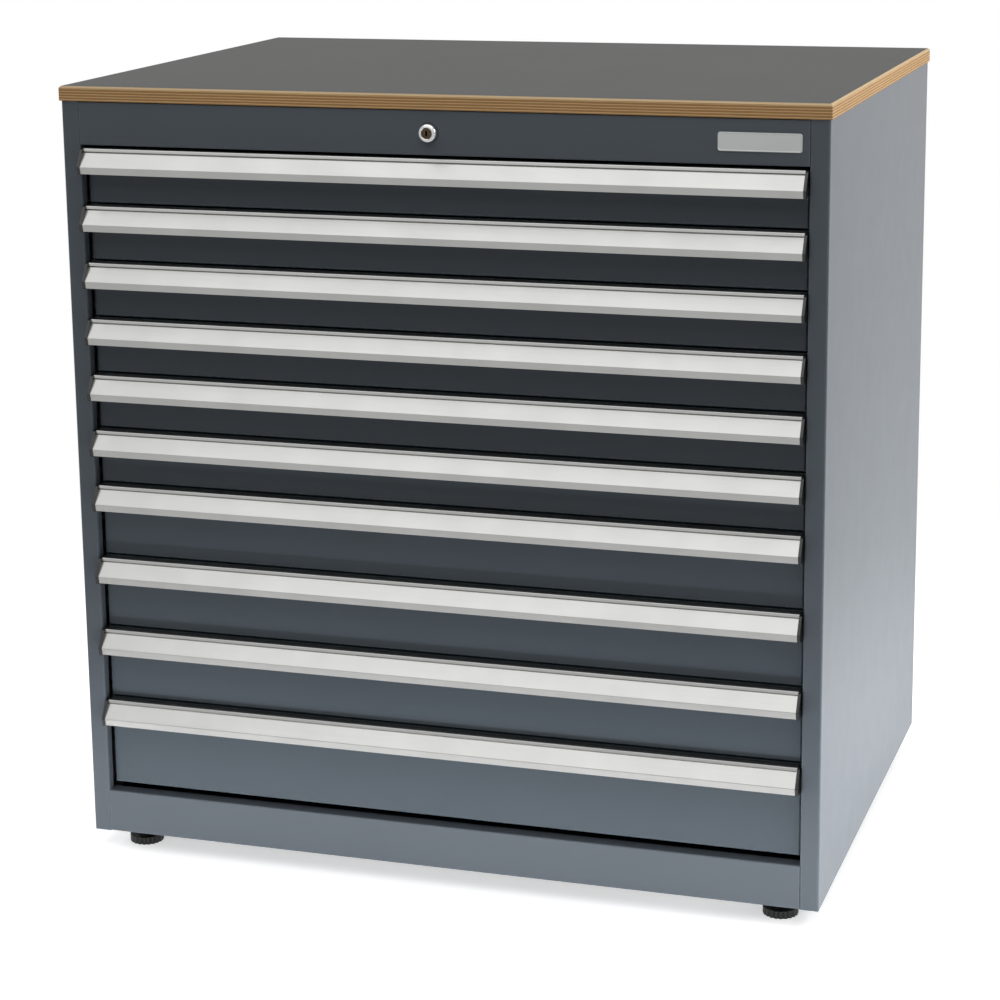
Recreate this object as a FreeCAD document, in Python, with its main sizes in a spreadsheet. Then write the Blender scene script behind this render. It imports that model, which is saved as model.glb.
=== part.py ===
import FreeCAD, Part
import Sketcher
import math
import os

from FreeCAD import Vector

# Ten-drawer tool cabinet.
# Origin: the floor, under the middle of the whole cabinet. X runs to the right as seen
# from the front, Y from front to back, Z up.

doc = FreeCAD.newDocument("ToolCabinet")
sheet = doc.addObject("Spreadsheet::Sheet", "Sizes")

# Driving sizes in millimetres, angles in degrees
sizes = {
    # Housing
    "housing_width": 1005,
    "housing_depth": 736,
    "steel": 1.5,
    "stile_width": 24.5,
    "stile_return": 12,
    "rear_flange": 22,
    "header_height": 57,
    "plinth_height": 58.5,
    "fold_depth": 20,
    "panel_rim": 12,
    "base_rim": 26,
    "bend_radius": 2.5,
    # Worktop
    "worktop_thickness": 19,
    "worktop_overhang": 2,
    "worktop_chamfer": 2.5,
    # Drawer rows
    "low_pitch": 75,
    "medium_pitch": 100,
    "tall_pitch": 125,
    "low_drawers": 6,
    "medium_drawers": 3,
    "tall_drawers": 1,
    "drawer_gap": 2.5,
    "header_gap": 4,
    "plinth_gap": 8,
    # Drawer fronts and trays
    "front_recess": 14.5,
    "front_side_gap": 3,
    "front_fold": 20,
    "tray_top_drop": 10,
    "tray_floor_rise": 4,
    "rear_space": 80,
    # Handles
    "handle_height": 36,
    "handle_wall": 2,
    "handle_reach": 15,
    "lip_height": 4,
    "nose_drop": 23,
    "grip_drop": 32,
    "grip_setback": 2,
    "lip_radius": 1.6,
    "nose_radius": 1.5,
    "cap_thickness": 3.5,
    "cap_side_gap": 1,
    "cap_bulge": 1.5,
    "lip_overhang": 1.2,
    "label_notch": 1.0,
    # Runners
    "runner_height": 40,
    "runner_drop": 20,
    "runner_width": 25,
    "runner_steel": 1.5,
    "runner_flange": 2,
    "runner_play": 0.3,
    "runner_split": 1,
    "runner_start_gap": 3.5,
    "runner_web_gap": 0.5,
    "middle_web": 3,
    # Uprights
    "upright_width": 30,
    "upright_inset": 2,
    "upright_setback": 0.5,
    # Lock
    "lock_collar": 26.5,
    "lock_nose": 19,
    "lock_reach": 10,
    "lock_barrel": 18.6,
    "lock_plug": 14,
    "lock_play": 0.05,
    "lock_nut": 27,
    "lock_nut_thickness": 5,
    "lock_depth": 18,
    "cam_width": 15,
    "cam_thickness": 2.3,
    "cam_throw": 8,
    "cam_pin": 5,
    "cam_pin_length": 4,
    "slot_play": 0.5,
    "keyhole_width": 2.6,
    "keyhole_height": 6.5,
    "keyhole_depth": 12,
    "lock_bar_thickness": 2,
    "lock_bar_rise": 5,
    "lock_bar_drop": 18,
    "lock_bar_gap": 0.5,
    "lock_bar_end_gap": 2,
    "rail_lift": 8,
    "rail_pin": 4,
    "rail_pin_play": 0.3,
    "rail_pin_drop": 10,
    "lock_rail_width": 14,
    "lock_rail_gap": 3,
    "lock_rail_head": 5,
    "lock_finger": 3.5,
    "lock_finger_height": 12,
    # Levelling feet
    "foot_height": 25,
    "foot_diameter": 46,
    "foot_rim": 10,
    "foot_hub": 24,
    "foot_rib": 1.6,
    "foot_ribs": 21,
    "foot_stem": 10,
    "foot_stem_length": 38,
    "foot_side_inset": 57,
    "foot_end_inset": 43,
    "weld_nut": 19.6,
    "weld_nut_height": 10,
    "thread_play": 0.1,
}
row = 0
for alias, number in sizes.items():
    row += 1
    sheet.set(f"A{row}", alias)
    sheet.set(f"B{row}", str(number))
    sheet.setAlias(f"B{row}", alias)
doc.recompute()


class Size:
    """A length that carries its value together with the sheet formula it comes from."""

    def __init__(self, value, formula):
        self.value = float(value)
        self.formula = formula

    def __add__(self, other):
        other = as_size(other)
        return Size(self.value + other.value, f"({self.formula} + {other.formula})")

    def __sub__(self, other):
        other = as_size(other)
        return Size(self.value - other.value, f"({self.formula} - {other.formula})")

    def __mul__(self, factor):
        return Size(self.value * factor, f"({self.formula} * {factor})")

    def __truediv__(self, divisor):
        return Size(self.value / divisor, f"({self.formula} / {divisor})")

    def __neg__(self):
        return Size(-self.value, f"(0 - {self.formula})")

    __radd__ = __add__
    __rmul__ = __mul__


def as_size(number):
    if isinstance(number, Size):
        return number
    return Size(number, f"({number})")


def given(alias):
    return Size(sheet.get(alias), f"Sizes.{alias}")


def count(alias):
    return int(sheet.get(alias))


ZERO = as_size(0)

# Sizes worked out from the driving ones

steel = given("steel")
half_width = given("housing_width") / 2
depth = given("housing_depth")
half_opening = half_width - given("stile_width")
half_inside = half_width - steel
inner_bend = given("bend_radius") - steel
floor_gap = given("foot_height")

pitches = [given("low_pitch")] * count("low_drawers")
pitches += [given("medium_pitch")] * count("medium_drawers")
pitches += [given("tall_pitch")] * count("tall_drawers")
stack_height = ZERO
for pitch in pitches:
    stack_height = stack_height + pitch

housing_bottom = floor_gap
plinth_top = housing_bottom + given("plinth_height")
stack_bottom = plinth_top + given("plinth_gap") - given("drawer_gap")
stack_top = stack_bottom + stack_height
header_bottom = stack_top + given("header_gap")
housing_top = header_bottom + given("header_height")

# The stile plane lies forward of the middle, so that the whole outline is centred in Y
nose_reach = given("handle_reach") + given("cap_bulge")
stile_plane = (nose_reach - depth - given("worktop_overhang")) / 2

front_face = given("front_recess")
front_back = front_face + given("front_fold")
half_front = half_opening - given("front_side_gap")
tray_start = front_face + steel
tray_end = depth - given("rear_space")

runner_start = front_back + given("runner_start_gap")
runner_length = tray_end - runner_start
runner_outside = half_opening + given("upright_setback")
runner_inside = runner_outside - given("runner_width")
half_tray = runner_inside
rail_depth = (given("runner_width") - given("runner_split")) / 2
back_face = depth - steel - steel

lock_height = header_bottom + given("header_height") / 2


# Helpers

def bind(item, name, length):
    """Tie a property of an object to the spreadsheet."""
    item.setExpression(name, length.formula)


def place(item, x=ZERO, y=ZERO, z=ZERO):
    """Put a sub-part at x, y behind the stile plane, and z above the floor."""
    y = stile_plane + y
    item.Placement = FreeCAD.Placement(Vector(x.value, y.value, z.value), FreeCAD.Rotation())
    bind(item, "Placement.Base.x", x)
    bind(item, "Placement.Base.y", y)
    bind(item, "Placement.Base.z", z)


def new_body(label, x=ZERO, y=ZERO, z=ZERO):
    body = doc.addObject("PartDesign::Body", label)
    body.Label = label
    place(body, x, y, z)
    return body


def sketch_on(body, role, name, offset=ZERO):
    """Sketch on one of the body's own origin planes, moved along its normal by offset."""
    sketch = body.newObject("Sketcher::SketchObject", name)
    plane = next(item for item in body.Origin.OriginFeatures if item.Role == role)
    sketch.AttachmentSupport = [(plane, "")]
    sketch.MapMode = "FlatFace"
    sketch.AttachmentOffset = FreeCAD.Placement(Vector(0, 0, offset.value), FreeCAD.Rotation())
    bind(sketch, "AttachmentOffset.Base.z", offset)
    return sketch


def tie_point(sketch, line, end, across, up):
    """Hold one end of a line at a distance from the sketch's origin."""
    for kind, length in (("DistanceX", across), ("DistanceY", up)):
        number = sketch.addConstraint(Sketcher.Constraint(kind, -1, 1, line, end, length.value))
        sketch.setExpression(f"Constraints[{number}]", length.formula)


def outline(sketch, corners):
    """Closed outline of straight lines through the corners, given as pairs of sizes."""
    corners = [(as_size(across), as_size(up)) for across, up in corners]
    first = sketch.GeometryCount
    total = len(corners)
    for index in range(total):
        start = Vector(corners[index][0].value, corners[index][1].value, 0)
        stop_corner = corners[(index + 1) % total]
        stop = Vector(stop_corner[0].value, stop_corner[1].value, 0)
        sketch.addGeometry(Part.LineSegment(start, stop), False)
    for index in range(total):
        follower = first + (index + 1) % total
        sketch.addConstraint(Sketcher.Constraint("Coincident", first + index, 2, follower, 1))
    for index, corner in enumerate(corners):
        tie_point(sketch, first + index, 1, *corner)


def rectangle(sketch, left, bottom, right, top):
    outline(sketch, [(left, bottom), (right, bottom), (right, top), (left, top)])


def hexagon(sketch, across, up, radius):
    """Hexagon outline with two corners level with its middle."""
    corners = []
    for turn in range(0, 360, 60):
        angle = math.radians(turn)
        corners.append((radius * math.cos(angle) + across, radius * math.sin(angle) + up))
    outline(sketch, corners)


def circle(sketch, across, up, diameter):
    across = as_size(across)
    up = as_size(up)
    middle = Vector(across.value, up.value, 0)
    ring = sketch.addGeometry(Part.Circle(middle, Vector(0, 0, 1), diameter.value / 2), False)
    tie_point(sketch, ring, 3, across, up)
    number = sketch.addConstraint(Sketcher.Constraint("Diameter", ring, diameter.value))
    sketch.setExpression(f"Constraints[{number}]", diameter.formula)


def pad(body, sketch, length, name, backwards=False, middle=False):
    feature = body.newObject("PartDesign::Pad", name)
    feature.Profile = sketch
    feature.Length = length.value
    bind(feature, "Length", length)
    feature.Reversed = backwards
    feature.Midplane = middle
    return feature


def pocket(body, sketch, length, name, backwards=False, middle=False):
    """Cut a sketch out of the body, and check that it really removed material."""
    doc.recompute()
    before = body.Shape.Volume
    feature = body.newObject("PartDesign::Pocket", name)
    feature.Profile = sketch
    feature.Length = length.value
    bind(feature, "Length", length)
    feature.Reversed = backwards
    feature.Midplane = middle
    doc.recompute()
    if feature.Shape.Volume >= before - 0.01:
        raise ValueError(f"{body.Label}: {name} cuts nothing")
    return feature


def spin(body, sketch, name):
    """Turn a sketch once round its own vertical axis."""
    feature = body.newObject("PartDesign::Revolution", name)
    feature.Profile = sketch
    feature.ReferenceAxis = (sketch, ["V_Axis"])
    feature.Angle = 360
    return feature


def dress(body, kind, names, size, label):
    """Fillet or chamfer the named edges of the body's last feature."""
    base = body.Tip
    feature = body.newObject(f"PartDesign::{kind}", label)
    feature.Base = (base, names)
    amount = "Radius" if kind == "Fillet" else "Size"
    setattr(feature, amount, size.value)
    bind(feature, amount, size)
    return feature


def edges_along(body, axis, spots):
    """Names of the body's edges that run along an axis through the given spots."""
    doc.recompute()
    others = [number for number in range(3) if number != axis]
    names = []
    for number, edge in enumerate(body.Tip.Shape.Edges, 1):
        if edge.Curve.TypeId != "Part::GeomLine":
            continue
        start = edge.Vertexes[0].Point
        stop = edge.Vertexes[-1].Point
        if any(abs(start[other] - stop[other]) > 0.001 for other in others):
            continue
        for spot in spots:
            spot = [as_size(length).value for length in spot]
            if all(abs(start[other] - spot[order]) < 0.01 for order, other in enumerate(others)):
                names.append(f"Edge{number}")
    return names


def channel(sketch, side, web, wall, tip, bottom, top):
    """Rail section: an upright web with a flange along its top and its bottom edge."""
    flange = given("runner_flange")
    inner = web + wall
    outline(sketch, [
        (web * side, bottom), (tip * side, bottom), (tip * side, bottom + flange),
        (inner * side, bottom + flange), (inner * side, top - flange),
        (tip * side, top - flange), (tip * side, top), (web * side, top)])


# Housing

def side_panel(label, side):
    """Skin, front stile, inward return and rear flange, folded from one sheet."""
    body = new_body(label, z=housing_bottom)
    section = sketch_on(body, "XY_Plane", f"{label}_section")
    stile_inner = half_opening + steel
    flange_end = half_width - given("rear_flange")
    corners = [
        (half_width, 0), (half_opening, 0), (half_opening, given("stile_return")),
        (stile_inner, given("stile_return")), (stile_inner, steel), (half_inside, steel),
        (half_inside, depth - steel), (flange_end, depth - steel), (flange_end, depth),
        (half_width, depth)]
    outline(section, [(across * side, along) for across, along in corners])
    pad(body, section, housing_top - housing_bottom, f"{label}_sheet")
    outer = [(half_width * side, 0), (half_opening * side, 0), (half_width * side, depth)]
    dress(body, "Fillet", edges_along(body, 2, outer), given("bend_radius"), f"{label}_bends")
    inner = [(half_inside * side, steel), (stile_inner * side, steel),
             (half_inside * side, depth - steel)]
    dress(body, "Fillet", edges_along(body, 2, inner), inner_bend, f"{label}_inner_bends")
    return body


def cross_member(label, bottom, top):
    """Channel between the stiles: a front plate with its top and bottom folded back."""
    body = new_body(label, z=bottom)
    height = top - bottom
    fold = given("fold_depth")
    section = sketch_on(body, "YZ_Plane", f"{label}_section")
    outline(section, [
        (0, 0), (0, height), (fold, height), (fold, height - steel), (steel, height - steel),
        (steel, steel), (fold, steel), (fold, 0)])
    pad(body, section, half_opening * 2, f"{label}_sheet", middle=True)
    outer = edges_along(body, 0, [(0, 0), (0, height)])
    dress(body, "Fillet", outer, given("bend_radius"), f"{label}_bends")
    inner = edges_along(body, 0, [(steel, steel), (steel, height - steel)])
    dress(body, "Fillet", inner, inner_bend, f"{label}_inner_bends")
    return body


def header():
    """Top cross member, with the hole for the lock."""
    body = cross_member("header", header_bottom, housing_top)
    hole = sketch_on(body, "XZ_Plane", "lock_hole")
    circle(hole, 0, lock_height - header_bottom, given("lock_barrel") + given("thread_play") * 2)
    pocket(body, hole, steel * 4, "lock_hole_cut", middle=True)
    return body


def deck(label, bottom, rim, rim_up):
    """Sheet across the housing with a rim folded along its front and its rear edge."""
    body = new_body(label, z=bottom)
    front = given("fold_depth")
    rear = back_face
    sheet_low = ZERO if rim_up else rim - steel
    sheet_high = sheet_low + steel
    rim_end = rim if rim_up else ZERO
    inner_face = sheet_high if rim_up else sheet_low
    outer_face = sheet_low if rim_up else sheet_high
    section = sketch_on(body, "YZ_Plane", f"{label}_section")
    outline(section, [
        (front, outer_face), (rear, outer_face), (rear, rim_end), (rear - steel, rim_end),
        (rear - steel, inner_face), (front + steel, inner_face), (front + steel, rim_end),
        (front, rim_end)])
    pad(body, section, half_inside * 2, f"{label}_sheet", middle=True)
    return body


def foot_spots():
    """Middles of the four levelling feet, as distances from the middle and the stile plane."""
    across = half_width - given("foot_side_inset")
    near = given("foot_end_inset")
    far = depth - given("foot_end_inset")
    return [(-across, near), (across, near), (-across, far), (across, far)]


def base_panel():
    """Floor of the housing, with a hole over each levelling foot."""
    body = deck("base_panel", housing_bottom, given("base_rim"), True)
    holes = sketch_on(body, "XY_Plane", "foot_holes")
    for across, along in foot_spots():
        circle(holes, across, along, given("foot_stem") + given("thread_play") * 2)
    pocket(body, holes, steel * 4, "foot_hole_cuts", middle=True)
    return body


def back_panel():
    """Plain sheet against the rear flanges, clear of the bends beside it."""
    panel = doc.addObject("Part::Box", "back_panel")
    panel.Label = "back_panel"
    half_panel = half_inside - inner_bend
    place(panel, -half_panel, back_face, housing_bottom + steel)
    bind(panel, "Length", half_panel * 2)
    bind(panel, "Width", steel)
    bind(panel, "Height", housing_top - housing_bottom - steel * 2)
    return panel


def worktop():
    """Plywood board with a broad chamfer round its top edge."""
    body = new_body("worktop", z=housing_top)
    edge = half_width + given("worktop_overhang")
    near = -given("worktop_overhang")
    far = depth + given("worktop_overhang")
    thickness = given("worktop_thickness")
    plan = sketch_on(body, "XY_Plane", "worktop_plan")
    rectangle(plan, -edge, near, edge, far)
    pad(body, plan, thickness, "worktop_board")
    top_edges = edges_along(body, 0, [(near, thickness), (far, thickness)])
    top_edges += edges_along(body, 1, [(-edge, thickness), (edge, thickness)])
    dress(body, "Chamfer", top_edges, given("worktop_chamfer"), "worktop_arris")
    return body


def uprights():
    """Four channels on the side panels that carry the runners."""
    body = new_body("uprights", z=housing_bottom + steel)
    section = sketch_on(body, "XY_Plane", "uprights_section")
    width = given("upright_width")
    near = runner_start + given("upright_inset")
    far = tray_end - given("upright_inset") - width
    web = runner_outside
    for side in (-1, 1):
        for start in (near, far):
            stop = start + width
            corners = [
                (web, start), (web, stop), (half_inside, stop), (half_inside, stop - steel),
                (web + steel, stop - steel), (web + steel, start + steel),
                (half_inside, start + steel), (half_inside, start)]
            outline(section, [(across * side, along) for across, along in corners])
    pad(body, section, housing_top - housing_bottom - steel * 2, "uprights_sheet")
    return body


# Runners

def row_tops():
    """Height of each drawer's top edge above the floor, from the top drawer down."""
    top = stack_top
    tops = []
    for pitch in pitches:
        tops.append(top)
        top = top - pitch
    return tops


def fixed_runners(label, side):
    """The outer rails of all drawers on one side of the housing."""
    body = new_body(label, y=runner_start)
    section = sketch_on(body, "XZ_Plane", f"{label}_section")
    for top in row_tops():
        high = top - given("runner_drop")
        low = high - given("runner_height")
        tip = runner_outside - rail_depth
        channel(section, side, runner_outside, -given("runner_steel"), tip, low, high)
    pad(body, section, runner_length, f"{label}_rails", backwards=True)
    return body


def middle_rails(label, top):
    """Pair of intermediate rails, which slide in the fixed rails and in the tray's rails."""
    body = new_body(label, y=runner_start, z=top)
    section = sketch_on(body, "XZ_Plane", f"{label}_section")
    high = -given("runner_drop") - given("runner_flange") - given("runner_play")
    low = high - given("runner_height") + (given("runner_flange") + given("runner_play")) * 2
    outside = runner_outside - given("runner_steel") - given("runner_web_gap")
    inside = runner_inside + given("runner_steel") + given("runner_web_gap")
    flange = given("runner_flange")
    middle = (outside + inside) / 2
    web_out = middle + given("middle_web") / 2
    web_in = middle - given("middle_web") / 2
    for side in (-1, 1):
        corners = [
            (inside, low), (outside, low), (outside, low + flange), (web_out, low + flange),
            (web_out, high - flange), (outside, high - flange), (outside, high),
            (inside, high), (inside, high - flange), (web_in, high - flange),
            (web_in, low + flange), (inside, low + flange)]
        outline(section, [(across * side, up) for across, up in corners])
    pad(body, section, runner_length, f"{label}_bars", backwards=True)
    return body


# Drawers

def tray(label, top, pitch):
    """Folded front, tray and tray rails, welded into one piece."""
    body = new_body(label, z=top)
    height = pitch - given("drawer_gap")

    front = sketch_on(body, "XZ_Plane", f"{label}_front", -front_face)
    rectangle(front, -half_front, -height, half_front, ZERO)
    pad(body, front, given("front_fold"), f"{label}_front_block", backwards=True)
    edges = edges_along(body, 0, [(front_face, 0), (front_face, -height)])
    edges += edges_along(body, 2, [(-half_front, front_face), (half_front, front_face)])
    dress(body, "Fillet", edges, given("bend_radius"), f"{label}_front_bends")

    inside = sketch_on(body, "XZ_Plane", f"{label}_front_inside", -tray_start)
    rectangle(inside, steel - half_front, steel - height, half_front - steel, -steel)
    pocket(body, inside, given("front_fold"), f"{label}_front_hollow")

    floor = given("tray_floor_rise") - height
    wall_height = -floor - given("tray_top_drop")
    plan = sketch_on(body, "XY_Plane", f"{label}_plan", floor)
    rectangle(plan, -half_tray, tray_start, half_tray, tray_end)
    pad(body, plan, wall_height, f"{label}_bin")
    hollow = sketch_on(body, "XY_Plane", f"{label}_hollow", floor + steel)
    rectangle(hollow, steel - half_tray, tray_start, half_tray - steel, tray_end - steel)
    pocket(body, hollow, wall_height, f"{label}_bin_hollow", backwards=True)

    rails = sketch_on(body, "XZ_Plane", f"{label}_rails", -runner_start)
    high = -given("runner_drop")
    low = high - given("runner_height")
    for side in (-1, 1):
        channel(rails, side, runner_inside, given("runner_steel"), runner_inside + rail_depth,
                low, high)
    pad(body, rails, runner_length, f"{label}_tray_rails", backwards=True)
    return body


def handle(label, top):
    """Aluminium extrusion: back plate, ledge with a lip over a label notch, face and grip."""
    body = new_body(label, z=top)
    wall = given("handle_wall")
    lip = -given("lip_height")
    overhang = given("lip_overhang")
    notch = given("label_notch")
    nose = -given("handle_reach")
    nose_level = -given("nose_drop")
    grip_level = -given("grip_drop")
    grip = nose + given("grip_setback")
    section = sketch_on(body, "YZ_Plane", f"{label}_section")
    outline(section, [
        (front_face, 0), (ZERO, 0), (-overhang, lip), (notch, lip - notch * 0.3),
        (nose, nose_level), (grip, grip_level), (grip + wall, grip_level),
        (nose + wall * 1.3, nose_level - wall * 0.4), (wall * 2.5, -wall),
        (front_face - wall, -wall), (front_face - wall, -given("handle_height")),
        (front_face, -given("handle_height"))])
    half_length = half_opening - given("cap_side_gap") - given("cap_thickness")
    pad(body, section, half_length * 2, f"{label}_extrusion", middle=True)
    lip_edge = edges_along(body, 0, [(ZERO, ZERO)])
    dress(body, "Fillet", lip_edge, given("lip_radius"), f"{label}_lip")
    nose_edge = edges_along(body, 0, [(nose, nose_level)])
    dress(body, "Fillet", nose_edge, given("nose_radius"), f"{label}_nose")
    return body


def end_caps(label, top):
    """Pair of moulded caps that close the ends of the handle."""
    body = new_body(label, z=top)
    thickness = given("cap_thickness")
    inner_face = half_opening - given("cap_side_gap") - thickness
    bulge = given("cap_bulge")
    nose = -given("handle_reach") - bulge
    nose_level = -given("nose_drop")
    foot = -given("grip_drop") - bulge / 2
    section = sketch_on(body, "YZ_Plane", f"{label}_section", inner_face)
    outline(section, [
        (front_face, 0), (-bulge * 2, 0), (nose, nose_level),
        (nose + given("grip_setback"), foot), (front_face, foot)])
    pad(body, section, thickness, f"{label}_cheek")
    shoulder = edges_along(body, 0, [(-bulge * 2, 0)])
    dress(body, "Fillet", shoulder, bulge * 5, f"{label}_shoulder")
    nose_edge = edges_along(body, 0, [(nose, nose_level)])
    dress(body, "Fillet", nose_edge, bulge * 2, f"{label}_nose")
    doc.recompute()
    twin = body.newObject("PartDesign::Mirrored", f"{label}_twin")
    features = [item for item in body.Group if item.TypeId.startswith("PartDesign::")]
    twin.Originals = [item for item in features if item is not twin]
    plane = next(item for item in body.Origin.OriginFeatures if item.Role == "YZ_Plane")
    twin.MirrorPlane = (plane, [""])
    body.Tip = twin
    return body


# Lock

cam_face = given("lock_depth") + given("thread_play")
cam_back = cam_face + given("cam_thickness")
bar_front = cam_back + given("lock_bar_gap")
bar_back = bar_front + given("lock_bar_thickness")
rail_front = bar_back + given("lock_bar_gap")
pin_side = given("cam_throw") * math.sin(math.radians(45))
bar_travel = pin_side * 2
rail_slope = given("rail_lift").value / bar_travel.value


def lock_housing():
    """Chromed housing with a tapered collar, and the nut that holds it in the header."""
    body = new_body("lock_housing", z=lock_height)
    bore = given("lock_plug") / 2 + given("lock_play")
    collar = given("lock_collar") / 2
    barrel = given("lock_barrel") / 2
    reach = given("lock_reach")
    section = sketch_on(body, "XY_Plane", "lock_housing_section")
    outline(section, [
        (bore, -reach), (given("lock_nose") / 2, -reach), (collar, 0), (barrel, 0),
        (barrel, given("lock_depth")), (bore, given("lock_depth"))])
    spin(body, section, "lock_housing_turning")

    nut = sketch_on(body, "XZ_Plane", "lock_nut_section", -steel)
    hexagon(nut, 0, 0, given("lock_nut") / 2)
    circle(nut, 0, 0, given("lock_barrel") + given("thread_play") * 2)
    pad(body, nut, given("lock_nut_thickness"), "lock_nut", backwards=True)
    return body


def lock_plug():
    """Turning plug with its keyhole, the lever on its rear end and the lever's drive pin."""
    body = new_body("lock_plug", z=lock_height)
    face = given("lock_play") * 10 - given("lock_reach")
    barrel = sketch_on(body, "XZ_Plane", "lock_plug_section", -face)
    circle(barrel, 0, 0, given("lock_plug"))
    pad(body, barrel, cam_face - face, "lock_plug_barrel", backwards=True)
    lever = sketch_on(body, "XZ_Plane", "cam_outline", -cam_face)
    half_cam = given("cam_width") / 2
    tip = given("cam_throw") + half_cam
    diagonal = math.sqrt(0.5)
    corners = [(half_cam, -half_cam), (half_cam, half_cam), (-tip, half_cam), (-tip, -half_cam)]
    outline(lever, [((along - aside) * diagonal, (along + aside) * diagonal)
                    for along, aside in corners])
    pad(body, lever, given("cam_thickness"), "cam_lever", backwards=True)
    keyhole = sketch_on(body, "XZ_Plane", "keyhole", -face)
    half_slot = given("keyhole_width") / 2
    half_height = given("keyhole_height") / 2
    rectangle(keyhole, -half_slot, -half_height, half_slot, half_height)
    pocket(body, keyhole, given("keyhole_depth"), "keyhole_cut")
    pin = sketch_on(body, "XZ_Plane", "cam_pin", -cam_back)
    circle(pin, -pin_side, -pin_side, given("cam_pin"))
    pad(body, pin, given("cam_pin_length"), "cam_pin_pad", backwards=True)
    return body


def rail_pin_spot():
    """Pin of the lock rail, across from the middle and up from the lock's axis."""
    plate_end = half_inside - given("lock_bar_end_gap")
    across = plate_end - bar_travel - given("rail_pin") * 1.5
    return -across, -given("rail_pin_drop")


def lock_bar():
    """Cross bar behind the header: a slot for the cam's pin and a slanted one for the rail."""
    body = new_body("lock_bar", y=bar_front, z=lock_height)
    play = given("slot_play")
    pin = given("cam_pin") / 2 + play
    left = given("lock_bar_end_gap") - half_inside
    right = given("cam_throw") + given("cam_pin") / 2
    plate = sketch_on(body, "XZ_Plane", "lock_bar_outline")
    rectangle(plate, left, -given("lock_bar_drop"), right, given("lock_bar_rise"))
    pad(body, plate, given("lock_bar_thickness"), "lock_bar_plate", backwards=True)

    slots = sketch_on(body, "XZ_Plane", "lock_bar_slots")
    deepest = -given("cam_throw") - pin
    rectangle(slots, -pin_side - pin, deepest, pin - pin_side, pin - pin_side)
    across, up = rail_pin_spot()
    end = given("rail_pin") * 0.6
    slope_cosine = 1 / math.sqrt(1 + rail_slope ** 2)
    half_slot = (given("rail_pin") / 2 + given("rail_pin_play")) / slope_cosine
    near = (across + end, up - end * rail_slope)
    far = (across - bar_travel - end, up + given("rail_lift") + end * rail_slope)
    outline(slots, [
        (near[0], near[1] - half_slot), (near[0], near[1] + half_slot),
        (far[0], far[1] + half_slot), (far[0], far[1] - half_slot)])
    pocket(body, slots, given("lock_bar_thickness") * 4, "lock_bar_slot_cuts", middle=True)
    return body


def lock_rail():
    """Upright rail beside the drawers, with a finger for each of them and a pin at its head."""
    body = new_body("lock_rail", y=rail_front)
    outside = given("lock_rail_gap") - half_inside
    inside = outside + given("lock_rail_width")
    across, up = rail_pin_spot()
    head_side = across + given("lock_rail_head")
    head_low = stack_top + given("header_gap")
    head_high = lock_height + up + given("lock_rail_head")
    low = plinth_top + given("plinth_gap")
    strip = sketch_on(body, "XZ_Plane", "lock_rail_outline")
    outline(strip, [
        (outside, low), (inside, low), (inside, head_low), (head_side, head_low),
        (head_side, head_high), (outside, head_high)])
    pad(body, strip, given("lock_bar_thickness"), "lock_rail_strip", backwards=True)
    fingers = sketch_on(body, "XZ_Plane", "lock_fingers")
    for top in row_tops():
        high = top - given("runner_drop")
        rectangle(fingers, inside, high - given("lock_finger_height"),
                  inside + given("lock_finger"), high)
    pad(body, fingers, given("lock_bar_thickness"), "lock_finger_tabs", backwards=True)
    pin = sketch_on(body, "XZ_Plane", "rail_pin")
    circle(pin, across, lock_height + up, given("rail_pin"))
    pad(body, pin, given("lock_bar_thickness") + given("lock_bar_gap"), "rail_pin_pad")
    return body


# Levelling feet

def levelling_foot(label, across, along):
    """Serrated pad with a hexagonal hub that meets the housing, moulded round its stem."""
    body = new_body(label, across, along)
    rim = given("foot_diameter") / 2
    rim_height = given("foot_rim")
    disc = sketch_on(body, "XY_Plane", f"{label}_disc")
    circle(disc, 0, 0, given("foot_diameter"))
    pad(body, disc, rim_height, f"{label}_rim")
    hub = sketch_on(body, "XY_Plane", f"{label}_hexagon", rim_height)
    hexagon(hub, 0, 0, given("foot_hub") / 2)
    pad(body, hub, given("foot_height") - rim_height, f"{label}_hub")
    rod = sketch_on(body, "XY_Plane", f"{label}_rod", given("foot_height"))
    circle(rod, 0, 0, given("foot_stem"))
    pad(body, rod, given("foot_stem_length"), f"{label}_stem")
    notch = sketch_on(body, "XY_Plane", f"{label}_notch")
    rib = given("foot_rib")
    outline(notch, [(rim - rib, 0), (rim + rib, rib * -3), (rim + rib, rib * 3)])
    cut = pocket(body, notch, rim_height, f"{label}_notch_cut", backwards=True)
    ribs = body.newObject("PartDesign::PolarPattern", f"{label}_ribs")
    ribs.Originals = [cut]
    ribs.Axis = (notch, ["N_Axis"])
    ribs.Angle = 360
    bind(ribs, "Occurrences", given("foot_ribs"))
    body.Tip = ribs
    return body


def weld_nuts():
    """Hexagon nuts welded over the holes of the base panel, for the stems of the feet."""
    body = new_body("weld_nuts", z=housing_bottom + steel)
    rings = sketch_on(body, "XY_Plane", "weld_nut_rings")
    for across, along in foot_spots():
        hexagon(rings, across, along, given("weld_nut") / 2)
        circle(rings, across, along, given("foot_stem") + given("thread_play") * 2)
    pad(body, rings, given("weld_nut_height"), "weld_nut_pads")
    return body


# The whole cabinet

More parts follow.
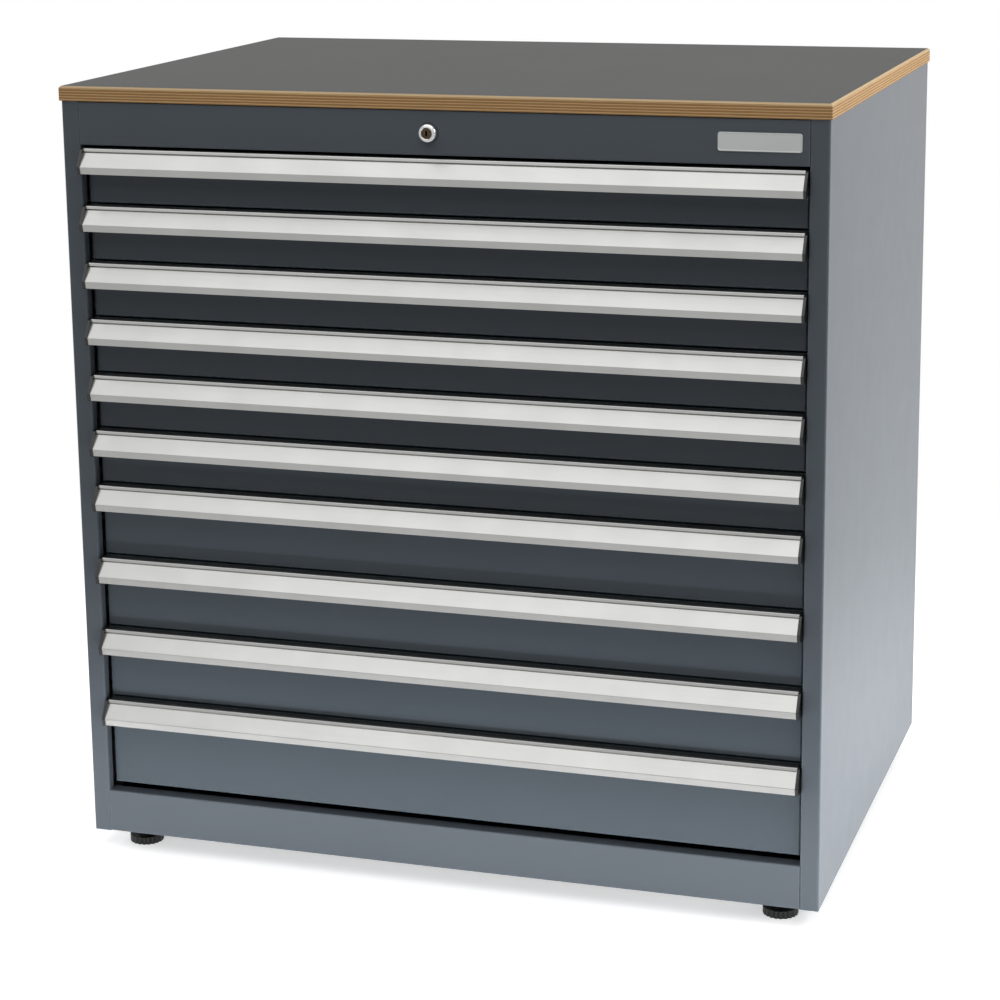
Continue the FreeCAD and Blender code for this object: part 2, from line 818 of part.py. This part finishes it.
def build():
    parts = [
        side_panel("side_left", -1),
        side_panel("side_right", 1),
        header(),
        cross_member("plinth", housing_bottom, plinth_top),
        base_panel(),
        deck("top_panel", housing_top - given("panel_rim"), given("panel_rim"), False),
        back_panel(),
        worktop(),
        uprights(),
        fixed_runners("runners_left", -1),
        fixed_runners("runners_right", 1),
        lock_housing(),
        lock_plug(),
        lock_bar(),
        lock_rail(),
        weld_nuts(),
    ]
    for number, (across, along) in enumerate(foot_spots(), 1):
        parts.append(levelling_foot(f"foot_{number}", across, along))
    for number, (top, pitch) in enumerate(zip(row_tops(), pitches), 1):
        name = f"drawer_{number:02d}"
        parts.append(tray(f"{name}_tray", top, pitch))
        parts.append(handle(f"{name}_handle", top))
        parts.append(end_caps(f"{name}_end_caps", top))
        parts.append(middle_rails(f"{name}_middle_rails", top))
    return parts


def check(parts):
    """Stop before anything is written if a feature failed or a shape isn't sound."""
    for item in doc.Objects:
        if "Invalid" in item.State or "Error" in item.State:
            raise ValueError(f"{item.Label} failed: {item.State}")
    for part in parts:
        if part.Shape.isNull() or not part.Shape.isValid():
            raise ValueError(f"{part.Label} has no sound shape")


parts = build()
doc.recompute()
check(parts)
os.makedirs("parts", exist_ok=True)
for part in parts:
    part.Shape.exportStep(f"parts/{part.Label}.step")
print(len(parts), "sub-parts written")
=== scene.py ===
import math

import bmesh
import bpy
from mathutils import Matrix, Vector

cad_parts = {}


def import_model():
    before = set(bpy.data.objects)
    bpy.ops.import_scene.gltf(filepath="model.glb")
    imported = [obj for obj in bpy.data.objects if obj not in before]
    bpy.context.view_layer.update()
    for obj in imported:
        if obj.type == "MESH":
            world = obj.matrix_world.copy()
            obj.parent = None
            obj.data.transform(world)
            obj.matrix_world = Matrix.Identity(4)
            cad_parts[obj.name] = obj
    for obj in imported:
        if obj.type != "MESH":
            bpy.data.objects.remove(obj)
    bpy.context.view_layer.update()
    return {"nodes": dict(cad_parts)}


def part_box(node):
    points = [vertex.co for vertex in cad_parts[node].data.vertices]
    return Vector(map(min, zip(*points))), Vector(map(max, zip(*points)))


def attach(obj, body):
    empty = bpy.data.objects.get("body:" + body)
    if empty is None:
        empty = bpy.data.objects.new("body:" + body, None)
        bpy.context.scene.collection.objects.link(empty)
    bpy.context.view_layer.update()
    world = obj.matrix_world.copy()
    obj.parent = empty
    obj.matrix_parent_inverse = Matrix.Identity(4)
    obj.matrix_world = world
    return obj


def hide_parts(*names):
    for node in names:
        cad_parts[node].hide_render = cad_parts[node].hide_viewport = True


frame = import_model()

# Looks of the ten-drawer tool cabinet. Lengths are in metres unless a name says otherwise.

nodes = frame["nodes"]
MM = 0.001

# Range in which most values of a noise lie
NOISE_LOW, NOISE_HIGH = 0.3, 0.7

# How much the floor near the cabinet is brightened for the camera and in reflections
FLOOR_LIFT = 0.50


# Colours and shader helpers

def display(red, green, blue):
    """Linear colour of a display colour whose channels run from 0 to 255."""
    def linear(channel):
        share = channel / 255
        if share <= 0.04045:
            return share / 12.92
        return ((share + 0.055) / 1.055) ** 2.4
    return linear(red), linear(green), linear(blue), 1.0


def shade(colour, factor):
    """The same colour, lighter or darker."""
    return [channel * factor for channel in colour[:3]] + [1.0]


class Shader:
    """A material being made: its nodes, and short calls that add and join them."""

    def __init__(self, name):
        self.material = bpy.data.materials.new(name)
        self.material.use_nodes = True
        self.tree = self.material.node_tree
        self.surface = self.tree.nodes["Principled BSDF"]
        self.place = self.add("ShaderNodeTexCoord").outputs["Object"]

    def add(self, kind, **settings):
        node = self.tree.nodes.new(kind)
        for name, value in settings.items():
            setattr(node, name, value)
        return node

    def feed(self, socket, value):
        """Join an output to a socket, or set the socket if the value is a plain one."""
        if isinstance(value, bpy.types.NodeSocket):
            self.tree.links.new(value, socket)
        else:
            socket.default_value = value

    def set(self, **values):
        """Give the surface's own sockets their values: names use _ for a space."""
        for name, value in values.items():
            self.feed(self.surface.inputs[name.replace("_", " ")], value)

    def stretched(self, x, y, z):
        """The object's own coordinates, in metres, scaled along each axis."""
        node = self.add("ShaderNodeMapping")
        self.feed(node.inputs["Vector"], self.place)
        self.feed(node.inputs["Scale"], (x, y, z))
        return node.outputs["Vector"]

    def noise(self, size, detail=2.0, rough=0.5, place=None):
        """Soft noise between 0 and 1 whose blotches are about size across."""
        node = self.add("ShaderNodeTexNoise")
        self.feed(node.inputs["Vector"], place or self.place)
        self.feed(node.inputs["Scale"], 1 / size)
        self.feed(node.inputs["Detail"], detail)
        self.feed(node.inputs["Roughness"], rough)
        return node.outputs["Fac"]

    def streaks(self, x, y, z, detail, rough=0.5):
        """Noise drawn out along some axes, with about x, y and z blotches a metre."""
        return self.noise(size=1.0, detail=detail, rough=rough, place=self.stretched(x, y, z))

    def maths(self, operation, first, second=0.0):
        node = self.add("ShaderNodeMath", operation=operation)
        self.feed(node.inputs[0], first)
        self.feed(node.inputs[1], second)
        return node.outputs[0]

    def spread(self, value, low, high, start=0.0, stop=1.0):
        """Map the range from low to high onto the range from start to stop."""
        node = self.add("ShaderNodeMapRange")
        for name, number in (("Value", value), ("From Min", low), ("From Max", high),
                             ("To Min", start), ("To Max", stop)):
            self.feed(node.inputs[name], number)
        return node.outputs["Result"]

    def vary(self, noise, start=0.0, stop=1.0):
        """Let a noise move a value between start and stop."""
        return self.spread(noise, NOISE_LOW, NOISE_HIGH, start, stop)

    def mix(self, share, first, second):
        node = self.add("ShaderNodeMix", data_type="RGBA")
        self.feed(node.inputs["Factor"], share)
        self.feed(node.inputs["A"], first)
        self.feed(node.inputs["B"], second)
        return node.outputs["Result"]

    def bump(self, height, depth, under=None):
        """Relief of the given depth in metres, on top of another relief."""
        node = self.add("ShaderNodeBump")
        self.feed(node.inputs["Height"], height)
        self.feed(node.inputs["Distance"], depth)
        if under:
            self.feed(node.inputs["Normal"], under)
        return node.outputs["Normal"]

    def edges(self, reach):
        """1 along sharp edges and bends, falling to 0 at about the given reach from them."""
        flat, bent = 0.998, 0.95
        bevel = self.add("ShaderNodeBevel", samples=4)
        self.feed(bevel.inputs["Radius"], reach)
        turned = self.add("ShaderNodeVectorMath", operation="DOT_PRODUCT")
        self.feed(turned.inputs[0], bevel.outputs["Normal"])
        self.feed(turned.inputs[1], self.add("ShaderNodeNewGeometry").outputs["Normal"])
        return self.spread(turned.outputs["Value"], flat, bent)

    def axis(self, name):
        """One of the object's own coordinates, in metres."""
        node = self.add("ShaderNodeSeparateXYZ")
        self.feed(node.inputs[0], self.place)
        return node.outputs[name]


# Materials

def paint(name, colour, relief, gloss, roughness, wear_and_highlight):
    """Powder coat with fine orange peel. Bends turn patchily towards a lighter tone, the colour times
    the last figure: partly worn coat, partly a painted highlight along the bends.
    """
    least_wear_and_highlight, most_wear_and_highlight = 0.2, 0.8
    shader = Shader(name)
    cloud = shader.noise(size=160 * MM, detail=3)
    peel = shader.noise(size=3.4 * MM, detail=1)
    grain = shader.noise(size=0.8 * MM, detail=1)
    haze = shader.noise(size=45 * MM, detail=3, rough=0.6)
    patchy = shader.noise(size=7 * MM, detail=4, rough=0.7)
    coat = shader.mix(shader.vary(cloud), shade(colour, 0.98), shade(colour, 1.02))
    # Worn coat and painted highlight: bends and edges are lightened, patchily
    worn_and_highlit = shader.maths(
        "MULTIPLY", shader.edges(reach=2 * MM),
        shader.spread(patchy, low=0.35, high=0.65, start=least_wear_and_highlight, stop=most_wear_and_highlight))
    shader.set(
        Base_Color=shader.mix(worn_and_highlit, coat, shade(colour, wear_and_highlight)),
        Roughness=shader.vary(haze, roughness, roughness * 1.08),
        Specular_IOR_Level=gloss,
        Normal=shader.bump(grain, relief * 0.2, under=shader.bump(peel, relief)))
    return shader.material


def aluminium(name, colour):
    """Satin anodised extrusion with faint lines drawn along its length."""
    shader = Shader(name)
    lines = shader.streaks(4, 2200, 2200, detail=3)
    cloud = shader.noise(size=60 * MM, detail=2)
    shader.set(
        Base_Color=shader.mix(shader.vary(cloud), shade(colour, 0.93), colour),
        Metallic=1.0,
        Roughness=shader.vary(lines, 0.28, 0.35),
        Normal=shader.bump(lines, depth=0.01 * MM))
    return shader.material


def chrome():
    """Polished plating with hardly any polishing haze."""
    shader = Shader("chrome")
    haze = shader.noise(size=4 * MM, detail=3)
    shader.set(
        Base_Color=display(190, 191, 192),
        Metallic=1.0,
        Roughness=shader.vary(haze, 0.06, 0.14),
        Normal=shader.bump(haze, depth=0.01 * MM))
    return shader.material


def worn_steel():
    """Dark burnished steel of the lock's plug, scratched by the key."""
    dark, light = display(52, 42, 33), display(88, 74, 60)
    shader = Shader("plug_steel")
    scratches = shader.streaks(900, 300, 3500, detail=2)
    stains = shader.noise(size=3 * MM, detail=3)
    shader.set(
        Base_Color=shader.mix(stains, dark, light),
        Metallic=1.0,
        Roughness=shader.vary(scratches, 0.28, 0.5),
        Normal=shader.bump(scratches, depth=0.03 * MM))
    return shader.material


def zinc():
    """Zinc-plated sheet with cloudy, slightly blue plating."""
    dark, light = display(172, 176, 180), display(206, 207, 204)
    shader = Shader("zinc_steel")
    cloud = shader.noise(size=18 * MM, detail=4, rough=0.6)
    lines = shader.streaks(900, 6, 900, detail=2)
    shader.set(
        Base_Color=shader.mix(cloud, dark, light),
        Metallic=1.0,
        Roughness=shader.vary(cloud, 0.26, 0.42),
        Normal=shader.bump(lines, depth=0.02 * MM))
    return shader.material


def plastic():
    """Black moulded plastic with a fine spark-eroded grain."""
    dark, light = display(7, 8, 9), display(17, 18, 19)
    shader = Shader("black_plastic")
    grain = shader.noise(size=0.5 * MM, detail=2)
    wear_and_highlight = shader.noise(size=12 * MM, detail=3)
    shader.set(
        Base_Color=shader.mix(wear_and_highlight, dark, light),
        Roughness=shader.vary(wear_and_highlight, 0.26, 0.40),
        Normal=shader.bump(grain, depth=0.03 * MM))
    return shader.material


def board():
    """Plywood under a dark film: bare plies round the edge, a pale chamfer, a matt top."""
    low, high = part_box("worktop")
    plies, chamfer = 11, 2.5 * MM
    # How far the plies waver, and half the width of a glue line, both as shares of a ply
    waver_plies, glue_plies = 0.12, 0.06
    glue_line = display(98, 68, 40)
    shader = Shader("plywood")

    level = shader.spread(shader.axis("Z"), low.z, high.z, 0, plies)
    waver = shader.streaks(6, 6, 40, detail=2)
    level = shader.maths("ADD", level, shader.vary(waver, -waver_plies, waver_plies))
    turn = shader.maths("PINGPONG", level, 1.0)
    cross = shader.spread(turn, low=0.35, high=0.65)
    from_joint = shader.maths("PINGPONG", shader.maths("ADD", turn, 0.5), 0.5)
    glue = shader.maths("LESS_THAN", from_joint, glue_plies)
    fibre = shader.streaks(25, 25, 900, detail=5, rough=0.65)
    pores = shader.streaks(700, 700, 300, detail=3, rough=0.6)
    long_grain = shader.mix(fibre, display(198, 156, 104), display(240, 204, 152))
    end_grain = shader.mix(pores, display(148, 108, 66), display(200, 156, 104))
    wood = shader.mix(cross, end_grain, long_grain)
    wood = shader.mix(glue, wood, glue_line)
    above = shader.spread(shader.axis("Z"), high.z - chamfer * 1.04, high.z - chamfer * 0.96)
    planed = shader.mix(fibre, display(205, 172, 128), display(232, 206, 168))
    wood = shader.mix(above, wood, planed)

    film_grain = shader.noise(size=0.8 * MM, detail=2)
    film_cloud = shader.noise(size=120 * MM, detail=3)
    film = shader.mix(film_cloud, display(50, 50, 48), display(60, 60, 59))
    top = shader.maths("GREATER_THAN", shader.axis("Z"), high.z - 0.05 * MM)
    relief = shader.mix(top, fibre, film_grain)
    shader.set(
        Base_Color=shader.mix(top, wood, film),
        Roughness=shader.spread(top, low=0, high=1, start=0.55, stop=0.50),
        Specular_IOR_Level=0.12,
        Normal=shader.bump(relief, depth=0.06 * MM))
    return shader.material


def dress():
    """Give every CAD node its finish."""
    # The last figure of each paint lightens its bends: partly edge wear, partly a painted highlight
    housing = paint(
        "housing_paint", display(94, 101, 108),
        relief=0.07 * MM, gloss=0.12, roughness=0.28, wear_and_highlight=2.2)
    # The drawers' paint is the housing's paint made darker: painted shade of the fronts recessed under
    # the handles
    shaded_drawer_paint = paint(
        "drawer_paint", display(82, 91, 99),
        relief=0.15 * MM, gloss=0.17, roughness=0.17, wear_and_highlight=4.5)
    satin = aluminium("satin_aluminium", display(165, 165, 163))
    black = plastic()
    plated = zinc()
    finishes = {
        "worktop": board(), "lock_housing": chrome(), "lock_plug": worn_steel(),
        "uprights": plated, "runners_left": plated, "runners_right": plated,
        "lock_bar": plated, "lock_rail": plated, "weld_nuts": plated,
    }
    endings = {
        "_tray": shaded_drawer_paint, "_handle": satin, "_end_caps": black, "_middle_rails": plated,
    }
    for name, item in nodes.items():
        material = finishes.get(name, housing)
        for ending, finish in endings.items():
            if name.endswith(ending):
                material = finish
        if name.startswith("foot_"):
            material = black
        item.data.materials.clear()
        item.data.materials.append(material)


# Added pieces

def new_object(name, mesh, material):
    """Put a mesh into the scene as an object with one material, its faces turned outwards."""
    bmesh.ops.recalc_face_normals(mesh, faces=mesh.faces)
    data = bpy.data.meshes.new(name)
    mesh.to_mesh(data)
    mesh.free()
    data.materials.append(material)
    piece = bpy.data.objects.new(name, data)
    bpy.context.scene.collection.objects.link(piece)
    return piece


# Badge plate

def rounded_ring(width, height, corner, steps=6):
    """Points round a rectangle with rounded corners, counter-clockwise about its middle."""
    points = []
    for quarter in range(4):
        middle_x = (width / 2 - corner) * (1 if quarter in (0, 3) else -1)
        middle_z = (height / 2 - corner) * (1 if quarter in (0, 1) else -1)
        for step in range(steps + 1):
            angle = math.radians(90 * (quarter + step / steps))
            points.append((middle_x + corner * math.cos(angle), middle_z + corner * math.sin(angle)))
    return points


def badge_plate(material):
    """Bare plate on the header, with a raised rim and nothing on it."""
    width, height, corner = 103 * MM, 23 * MM, 3.2 * MM
    thickness, rim, recess, arris = 1.2 * MM, 1.4 * MM, 0.3 * MM, 0.3 * MM
    middle_x, middle_z = 417.5 * MM, 996 * MM
    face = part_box("header")[0].y
    # Distance in from the outline, and distance out from the header
    section = [
        (0, 0), (0, thickness - arris), (arris, thickness), (rim, thickness),
        (rim + arris, thickness - recess)]
    mesh = bmesh.new()
    loops = []
    for inset, reach in section:
        points = rounded_ring(width - inset * 2, height - inset * 2, corner - inset)
        loops.append([mesh.verts.new((middle_x + x, face - reach, middle_z + z)) for x, z in points])
    for outer, inner in zip(loops, loops[1:]):
        count = len(outer)
        for index in range(count):
            following = (index + 1) % count
            mesh.faces.new((outer[index], outer[following], inner[following], inner[index]))
    mesh.faces.new(loops[-1])
    mesh.faces.new(list(reversed(loops[0])))
    plate = new_object("badge_plate", mesh, material)
    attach(plate, "housing")


# Lock collar

def lathe(mesh, profile, middle, sides=72):
    """Surface turned about the front-to-back line through middle, from (radius, y) points."""
    rings = []
    for radius, along in profile:
        ring = []
        for side in range(sides):
            angle = math.tau * side / sides
            ring.append(mesh.verts.new((
                middle.x + radius * math.cos(angle), middle.y + along,
                middle.z + radius * math.sin(angle))))
        rings.append(ring)
    for index, ring in enumerate(rings):
        following = rings[(index + 1) % len(rings)]
        for side in range(sides):
            turn = (side + 1) % sides
            mesh.faces.new((ring[side], ring[turn], following[turn], following[side]))


def arc(middle, radii, start, stop, steps):
    """Points of an elliptic arc round (radius, y), angles in degrees."""
    points = []
    for step in range(steps + 1):
        angle = math.radians(start + (stop - start) * step / steps)
        points.append((middle[0] + radii[0] * math.cos(angle), middle[1] + radii[1] * math.sin(angle)))
    return points


def collar_profile(front, rear, face):
    """Section of the lock's housing as (radius, y) points: dome, lip, bore and barrel."""
    bore, barrel, collar, nose, lip = 7.05 * MM, 9.3 * MM, 13.25 * MM, 8.1 * MM, 0.5 * MM
    # How far inside the nose's edge the dome is centred, and the bevel at the bore's mouth
    tuck, bevel = lip * 0.2, 0.5 * MM
    dome = arc(
        middle=(nose - tuck, face), radii=(collar - nose + tuck, front + lip * 0.7 - face),
        start=0, stop=80, steps=14)
    rounded_lip = arc(
        middle=(nose - lip, front + lip), radii=(lip, -lip), start=20, stop=90, steps=5)
    inside = [(bore + bevel, front), (bore, front + bevel), (bore, rear)]
    # The collar's back lies a hair inside the header's face
    outside = [(barrel, rear), (barrel, face + 0.1 * MM), (collar, face + 0.02 * MM)]
    return dome + rounded_lip + inside + outside


def nut_profile(start):
    """Section of the nut as (radius, y) points, from the header's back, with one chamfer."""
    hole, corner, thickness, chamfer = 9.4 * MM, 13.5 * MM, 5 * MM, 0.6 * MM
    stop = start + thickness
    return [
        (hole, start), (corner, start), (corner, stop - chamfer), (corner - chamfer, stop),
        (hole, stop)]


def lock_collar(material):
    """Polished lock housing with a domed collar, and its nut behind the header."""
    header_sheet = 1.5 * MM
    smooth_below = math.radians(35)
    low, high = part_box("lock_housing")
    middle = Vector(((low.x + high.x) / 2, 0, (low.z + high.z) / 2))
    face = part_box("header")[0].y
    mesh = bmesh.new()
    lathe(mesh, collar_profile(low.y, high.y, face), middle)
    lathe(mesh, nut_profile(face + header_sheet), middle, sides=6)
    piece = new_object("lock_collar", mesh, material)
    piece.data.shade_smooth()
    piece.data.set_sharp_from_angle(angle=smooth_below)
    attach(piece, "housing")
    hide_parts("lock_housing")


# Studio

def floor():
    """Pale floor: it takes the shadow near the cabinet, and looks white further away."""
    reach = 60.0
    pale, grey = (0.90, 0.90, 0.91, 1.0), (0.30, 0.30, 0.31, 1.0)
    white_from, all_white = 0.8, 1.7
    # Further out it is greyer, so that it throws less light back at the cabinet
    grey_from, all_grey = 1.2, 2.4
    data = bpy.data.meshes.new("floor")
    corners = [(-reach, -reach, 0), (reach, -reach, 0), (reach, reach, 0), (-reach, reach, 0)]
    data.from_pydata(corners, [], [(0, 1, 2, 3)])
    ground = bpy.data.objects.new("floor", data)
    bpy.context.scene.collection.objects.link(ground)
    shader = Shader("floor")
    shader.set(Roughness=0.9, Specular_IOR_Level=0.1)
    path = shader.add("ShaderNodeLightPath")
    seen = shader.maths("MAXIMUM", path.outputs["Is Camera Ray"], path.outputs["Is Glossy Ray"])
    seen = shader.maths("MAXIMUM", seen, path.outputs["Is Transmission Ray"])
    distance = shader.add("ShaderNodeVectorMath", operation="LENGTH")
    shader.feed(distance.inputs[0], shader.place)
    far = shader.spread(distance.outputs["Value"], white_from, all_white)
    greyer = shader.spread(distance.outputs["Value"], grey_from, all_grey)
    shader.set(Base_Color=shader.mix(greyer, pale, grey))
    lift = shader.add("ShaderNodeEmission")
    shader.feed(lift.inputs["Strength"], shader.maths("MULTIPLY", seen, FLOOR_LIFT))
    near = shader.add("ShaderNodeAddShader")
    shader.feed(near.inputs[0], shader.surface.outputs[0])
    shader.feed(near.inputs[1], lift.outputs[0])
    blend = shader.add("ShaderNodeMixShader")
    shader.feed(blend.inputs[0], shader.maths("MULTIPLY", seen, far))
    shader.feed(blend.inputs[1], near.outputs[0])
    shader.feed(blend.inputs[2], shader.add("ShaderNodeEmission").outputs[0])
    shader.feed(shader.tree.nodes["Material Output"].inputs["Surface"], blend.outputs[0])
    data.materials.append(shader.material)


def world(fill):
    """White surroundings for what is seen and mirrored, and an even grey fill light."""
    surroundings = bpy.data.worlds.new("studio")
    surroundings.use_nodes = True
    bpy.context.scene.world = surroundings
    tree = surroundings.node_tree
    background = tree.nodes["Background"]
    background.inputs["Color"].default_value = (1, 1, 1, 1)
    path = tree.nodes.new("ShaderNodeLightPath")
    highest = path.outputs["Is Camera Ray"]
    for name in ("Is Glossy Ray", "Is Transmission Ray"):
        larger = tree.nodes.new("ShaderNodeMath")
        larger.operation = "MAXIMUM"
        tree.links.new(highest, larger.inputs[0])
        tree.links.new(path.outputs[name], larger.inputs[1])
        highest = larger.outputs[0]
    strength = tree.nodes.new("ShaderNodeMapRange")
    tree.links.new(highest, strength.inputs["Value"])
    strength.inputs["To Min"].default_value = fill
    strength.inputs["To Max"].default_value = 1.0
    tree.links.new(strength.outputs["Result"], background.inputs["Strength"])


def softbox(name, place, aim, size, watts, mirrored=True):
    """Rectangular lamp at a place, facing a point, that glossy things may mirror."""
    data = bpy.data.lights.new(name, "AREA")
    data.shape = "RECTANGLE"
    data.size, data.size_y = size
    data.energy = watts
    lamp = bpy.data.objects.new(name, data)
    lamp.location = place
    lamp.rotation_euler = (Vector(aim) - Vector(place)).to_track_quat("-Z", "Y").to_euler()
    lamp.visible_camera = False
    lamp.visible_glossy = mirrored
    bpy.context.scene.collection.objects.link(lamp)


def studio():
    """Floor, surroundings and lamps. A lamp that isn't mirrored leaves no bright patch in gloss."""
    floor()
    world(fill=0.09)
    softbox(
        "key_softbox", place=(0.0, -1.6, 3.4), aim=(0, -0.2, 0.5),
        size=(4.4, 3.4), watts=56)
    softbox(
        "low_front_softbox", place=(0.1, -0.62, 0.05), aim=(0.1, -0.4, 0.045),
        size=(1.7, 0.06), watts=2.2, mirrored=False)
    softbox(
        "side_softbox", place=(2.1, 0.0, 1.8), aim=(0.5, 0, 1.0),
        size=(1.6, 0.8), watts=22)
    softbox(
        "back_softbox", place=(0.0, 2.7, 1.2), aim=(0, 0.38, 0.5),
        size=(2.2, 1.6), watts=46, mirrored=False)
    softbox(
        "left_softbox", place=(-2.5, 0.3, 1.2), aim=(-0.5, 0, 0.5),
        size=(1.8, 1.4), watts=34, mirrored=False)
    softbox(
        "low_side_softbox", place=(1.1, 0.0, 0.06), aim=(0.5, 0, 0.05),
        size=(1.2, 0.08), watts=6.5, mirrored=False)


def camera():
    """The photograph's view, from the right and a little above, on a long lens."""
    azimuth, elevation, roll = (math.radians(angle) for angle in (17.898, 12.652, -0.654))
    focal_pixels, image_pixels, horizon_pixels = 2654.7, 1000, 400
    place = Vector((1087.6, -3453.85, 1392.3)) * MM
    forward = Vector((-math.sin(azimuth) * math.cos(elevation),
                      math.cos(azimuth) * math.cos(elevation), -math.sin(elevation)))
    right = forward.cross(Vector((0, 0, 1))).normalized()
    up = right.cross(forward)
    right, up = (right * math.cos(roll) + up * math.sin(roll),
                 up * math.cos(roll) - right * math.sin(roll))
    data = bpy.data.cameras.new("photo_camera")
    data.sensor_width = 36
    data.lens = focal_pixels / image_pixels * data.sensor_width
    data.shift_y = (horizon_pixels - image_pixels / 2) / image_pixels
    eye = bpy.data.objects.new("photo_camera", data)
    eye.matrix_world = Matrix.Translation(place) @ Matrix((right, up, -forward)).transposed().to_4x4()
    bpy.context.scene.collection.objects.link(eye)
    bpy.context.scene.camera = eye


camera()
dress()
badge_plate(aluminium("plate_aluminium", display(168, 171, 169)))
lock_collar(nodes["lock_housing"].data.materials[0])
studio()
bpy.context.scene.view_settings.view_transform = "Standard"
